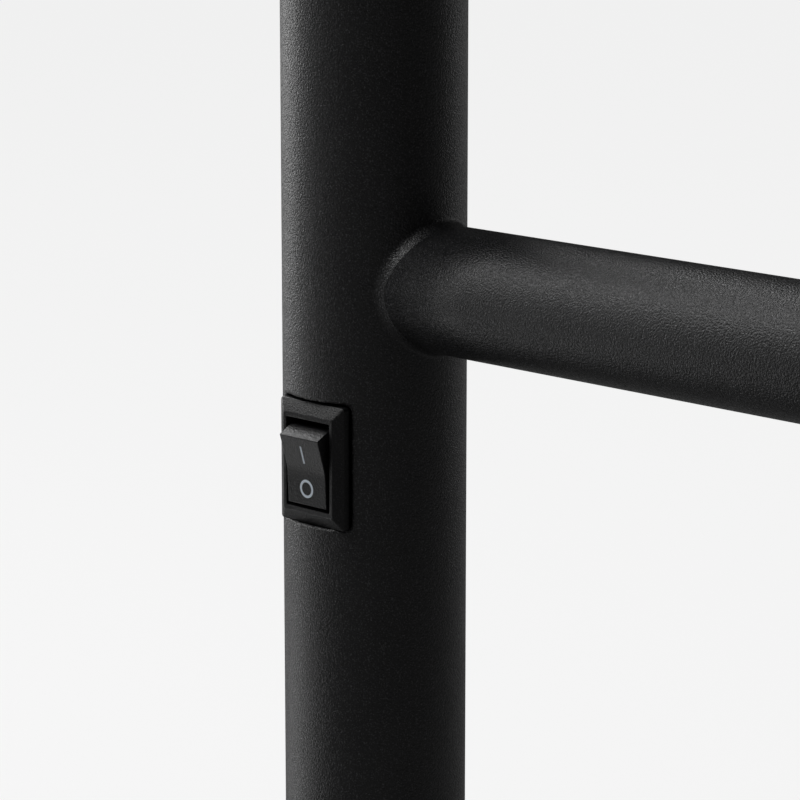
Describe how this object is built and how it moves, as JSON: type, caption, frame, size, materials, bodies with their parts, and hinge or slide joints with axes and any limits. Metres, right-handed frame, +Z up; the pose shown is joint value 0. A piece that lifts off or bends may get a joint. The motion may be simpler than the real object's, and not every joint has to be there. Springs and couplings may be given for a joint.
{
  "type": "towel warmer rack",
  "caption": "Free-standing electric towel warmer: round tube ladder frame on two cross feet, heated rails, and a rocker switch set into one upright.",
  "frame": {"origin": "on the floor, midway between the two feet and under the plane of the uprights", "axes": "+Z up, +X to the right seen from the switch's side, +Y to the back; the switch faces -Y"},
  "size_m": [0.532, 0.308, 0.9],
  "materials": {
    "powder_coat": "fine-texture matt black powder coat on steel tube",
    "moulded_black": "fine spark-eroded grain, moulded black plastic",
    "switch_marks": "pale grey printed marks",
    "rubber": "matt black moulded rubber",
    "zinc_steel": "bright zinc plating",
    "spring_steel": "drawn spring wire",
    "brass": "stamped brass",
    "aluminium": "drawn can",
    "silicone": "silicone cable jacket",
    "clear_nylon": "natural nylon",
    "live_brown": "wire insulation",
    "neutral_blue": "wire insulation",
    "earth_green": "wire insulation"
  },
  "bodies": {
    "rack": {"left_upright": "powder_coat", "right_upright": "powder_coat", "rail_1": "powder_coat", "rail_2": "powder_coat", "rail_3": "powder_coat", "rail_4": "powder_coat", "rail_5": "powder_coat", "rail_6": "powder_coat", "weld_1_left": "powder_coat", "weld_1_right": "powder_coat", "weld_2_left": "powder_coat", "weld_2_right": "powder_coat", "weld_3_left": "powder_coat", "weld_3_right": "powder_coat", "weld_4_left": "powder_coat", "weld_4_right": "powder_coat", "weld_5_left": "powder_coat", "weld_5_right": "powder_coat", "weld_6_left": "powder_coat", "weld_6_right": "powder_coat", "left_top_cap": "moulded_black", "right_top_cap": "moulded_black", "left_foot": "powder_coat", "right_foot": "powder_coat", "left_front_foot_cap": "moulded_black", "left_back_foot_cap": "moulded_black", "right_front_foot_cap": "moulded_black", "right_back_foot_cap": "moulded_black", "left_front_foot_pad": "rubber", "left_back_foot_pad": "rubber", "right_front_foot_pad": "rubber", "right_back_foot_pad": "rubber", "left_foot_plug": "zinc_steel", "right_foot_plug": "zinc_steel", "left_foot_bolt": "zinc_steel", "right_foot_bolt": "zinc_steel", "left_foot_washer": "zinc_steel", "right_foot_washer": "zinc_steel", "cable_gland": "moulded_black", "terminal_block": "clear_nylon", "switch_housing": "moulded_black", "common_terminal": "brass", "load_terminal": "brass", "common_boot": "clear_nylon", "load_boot": "clear_nylon", "heating_cable": "silicone", "thermal_cutout": "aluminium", "feed_splice": "clear_nylon", "return_splice": "clear_nylon", "live_lead": "live_brown", "switched_lead": "live_brown", "neutral_lead": "neutral_blue", "earth_lead": "earth_green", "earth_ring": "brass", "earth_screw": "zinc_steel"},
    "rocker": {"rocker": "moulded_black", "plunger_spring": "spring_steel"},
    "plunger": {"rocker_plunger": "clear_nylon"},
    "blade": {"contact_blade": "brass"}
  },
  "joints": [
    {"name": "rocker_tilt", "type": "hinge", "parent": "rack", "child": "rocker", "pos_m": [-0.25, -0.01133, 0.2095], "axis": [-1, 0, 0], "range_deg": [0, 19]},
    {"name": "plunger_slide", "type": "slide", "parent": "rocker", "child": "plunger", "axis": [0, -0.9863, -0.165], "range_m": [0, 0.0008], "stiffness_N_per_m": 300, "deforming": ["plunger_spring"]},
    {"name": "blade_tilt", "type": "hinge", "parent": "rack", "child": "blade", "pos_m": [-0.25, -0.00403, 0.2095], "axis": [-1, 0, 0], "range_deg": [-11.4, 0]}
  ],
  "couplings": [
    {"joint": "blade_tilt", "follows": "rocker_tilt", "ratio": -0.6}
  ]
}
